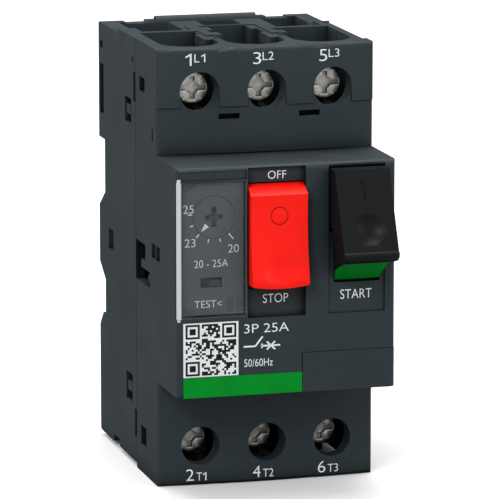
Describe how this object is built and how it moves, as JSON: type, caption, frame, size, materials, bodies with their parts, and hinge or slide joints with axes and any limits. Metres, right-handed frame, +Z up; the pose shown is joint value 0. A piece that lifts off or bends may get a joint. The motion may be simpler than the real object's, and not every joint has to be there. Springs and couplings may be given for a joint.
{
  "type": "motor protection breaker",
  "caption": "Rail-mounted multi-pole motor protection breaker with rocker start and stop buttons, current dial under a clear hinged cover and screw terminals.",
  "frame": {"origin": "centre of the flat boss on the rear face that enters the hollow of the mounting rail, at mid width and mid height of the case", "axes": "+X to the right seen from the front, -Y out of the front through the push buttons, +Z up towards the line terminals"},
  "size_m": [0.045, 0.0752, 0.0891],
  "materials": {
    "case_black": "fine matt moulded",
    "label_white": "printed film",
    "label_green": "printed film",
    "scale_grey": "satin printed",
    "clear_cover": "clear polished",
    "dial_grey": "satin",
    "mech_plastic": "natural moulded",
    "button_red": "satin gloss",
    "button_black": "satin",
    "skirt_green": "satin",
    "steel": "turned",
    "zinc_steel": "zinc plated",
    "spring_steel": "drawn wire",
    "screw_steel": "zinc plated",
    "carrier_plastic": "thermoset",
    "trip_plastic": "natural moulded",
    "clip_plastic": "matt moulded",
    "copper": "rolled copper",
    "coil_copper": "enamelled",
    "bobbin_plastic": "moulded",
    "bimetal_metal": "rolled"
  },
  "bodies": {
    "case": {"rear_housing": "case_black", "front_housing": "case_black", "front_panel": "case_black", "blank_lid": "case_black", "code_label": "label_white", "band_label": "label_green", "scale_plate": "scale_grey", "button_pivot_pin": "steel", "mechanism_frame": "zinc_steel", "latch_pin": "steel", "start_return_spring": "spring_steel", "stop_return_spring": "spring_steel", "line_terminal_screws": "screw_steel", "load_terminal_screws": "screw_steel", "line_clamps": "zinc_steel", "load_clamps": "zinc_steel", "rail_clip_spring": "spring_steel", "line_contact_1": "copper", "load_contact_1": "copper", "load_terminal_1": "copper", "arc_chute_1": "zinc_steel", "magnetic_coil_1": "coil_copper", "coil_bobbin_1": "bobbin_plastic", "magnet_core_1": "zinc_steel", "bimetal_1": "bimetal_metal", "line_contact_2": "copper", "load_contact_2": "copper", "load_terminal_2": "copper", "arc_chute_2": "zinc_steel", "magnetic_coil_2": "coil_copper", "coil_bobbin_2": "bobbin_plastic", "magnet_core_2": "zinc_steel", "bimetal_2": "bimetal_metal", "line_contact_3": "copper", "load_contact_3": "copper", "load_terminal_3": "copper", "arc_chute_3": "zinc_steel", "magnetic_coil_3": "coil_copper", "coil_bobbin_3": "bobbin_plastic", "magnet_core_3": "zinc_steel", "bimetal_3": "bimetal_metal"},
    "start_button": {"start_button": "button_black", "start_skirt": "skirt_green"},
    "stop_button": {"stop_button": "button_red"},
    "contact_carrier": {"contact_carrier": "carrier_plastic", "contact_springs": "spring_steel", "moving_bridge_1": "copper", "moving_bridge_2": "copper", "moving_bridge_3": "copper"},
    "latch_lever": {"latch_lever": "zinc_steel"},
    "setting_cover": {"setting_cover": "clear_cover"},
    "setting_dial": {"setting_dial": "dial_grey"},
    "adjusting_slide": {"adjusting_slide": "mech_plastic"},
    "test_slider": {"test_slider": "dial_grey"},
    "trip_bar": {"trip_bar": "trip_plastic"},
    "rail_clip": {"rail_clip": "clip_plastic"},
    "striker_1": {"striker_1": "steel"},
    "striker_2": {"striker_2": "steel"},
    "striker_3": {"striker_3": "steel"}
  },
  "joints": [
    {"name": "start_press", "type": "hinge", "parent": "case", "child": "start_button", "pos_m": [0.0144, -0.061, 0.0186], "axis": [1, 0, 0], "range_deg": [0, 9.5], "stiffness_Nm_per_rad": 0.06, "deforming": ["start_return_spring"]},
    {"name": "contact_travel", "type": "slide", "parent": "case", "child": "contact_carrier", "axis": [0, 1, 0], "range_m": [0, 0.003]},
    {"name": "stop_press", "type": "hinge", "parent": "case", "child": "stop_button", "pos_m": [-0.00205, -0.061, 0.0186], "axis": [1, 0, 0], "range_deg": [0, 5.5], "stiffness_Nm_per_rad": 0.06, "deforming": ["stop_return_spring"]},
    {"name": "latch_turn", "type": "hinge", "parent": "case", "child": "latch_lever", "pos_m": [-0.0019, -0.055, 0.002], "axis": [-1, 0, 0], "range_deg": [0, 3.6]},
    {"name": "cover_open", "type": "hinge", "parent": "case", "child": "setting_cover", "pos_m": [-0.0219, -0.06395, 0.0067], "axis": [0, 0, -1], "range_deg": [0, 110]},
    {"name": "dial_turn", "type": "hinge", "parent": "case", "child": "setting_dial", "pos_m": [-0.0146, -0.063, 0.01306], "axis": [0, -1, 0], "range_deg": [-55, 83.6]},
    {"name": "adjust_travel", "type": "slide", "parent": "case", "child": "adjusting_slide", "axis": [0, 0, 1], "range_m": [-0.000383, 0.000583]},
    {"name": "test_travel", "type": "slide", "parent": "case", "child": "test_slider", "axis": [-1, 0, 0], "range_m": [0, 0.0017]},
    {"name": "trip_turn", "type": "hinge", "parent": "case", "child": "trip_bar", "pos_m": [0, -0.0385, -0.004], "axis": [-1, 0, 0], "range_deg": [0, 6]},
    {"name": "clip_pull", "type": "slide", "parent": "case", "child": "rail_clip", "axis": [0, 0, -1], "range_m": [0, 0.003], "stiffness_N_per_m": 900, "deforming": ["rail_clip_spring"]},
    {"name": "striker_1_throw", "type": "slide", "parent": "case", "child": "striker_1", "axis": [0, -1, 0], "range_m": [0, 0.0025]},
    {"name": "striker_2_throw", "type": "slide", "parent": "case", "child": "striker_2", "axis": [0, -1, 0], "range_m": [0, 0.0025]},
    {"name": "striker_3_throw", "type": "slide", "parent": "case", "child": "striker_3", "axis": [0, -1, 0], "range_m": [0, 0.0025]}
  ],
  "couplings": [
    {"joint": "start_press", "follows": "contact_travel", "rad_per_m": 55.26},
    {"joint": "latch_turn", "follows": "stop_press", "ratio": 0.65},
    {"joint": "dial_turn", "follows": "adjust_travel", "rad_per_m": 2500},
    {"joint": "trip_turn", "follows": "test_travel", "rad_per_m": 61.538}
  ]
}
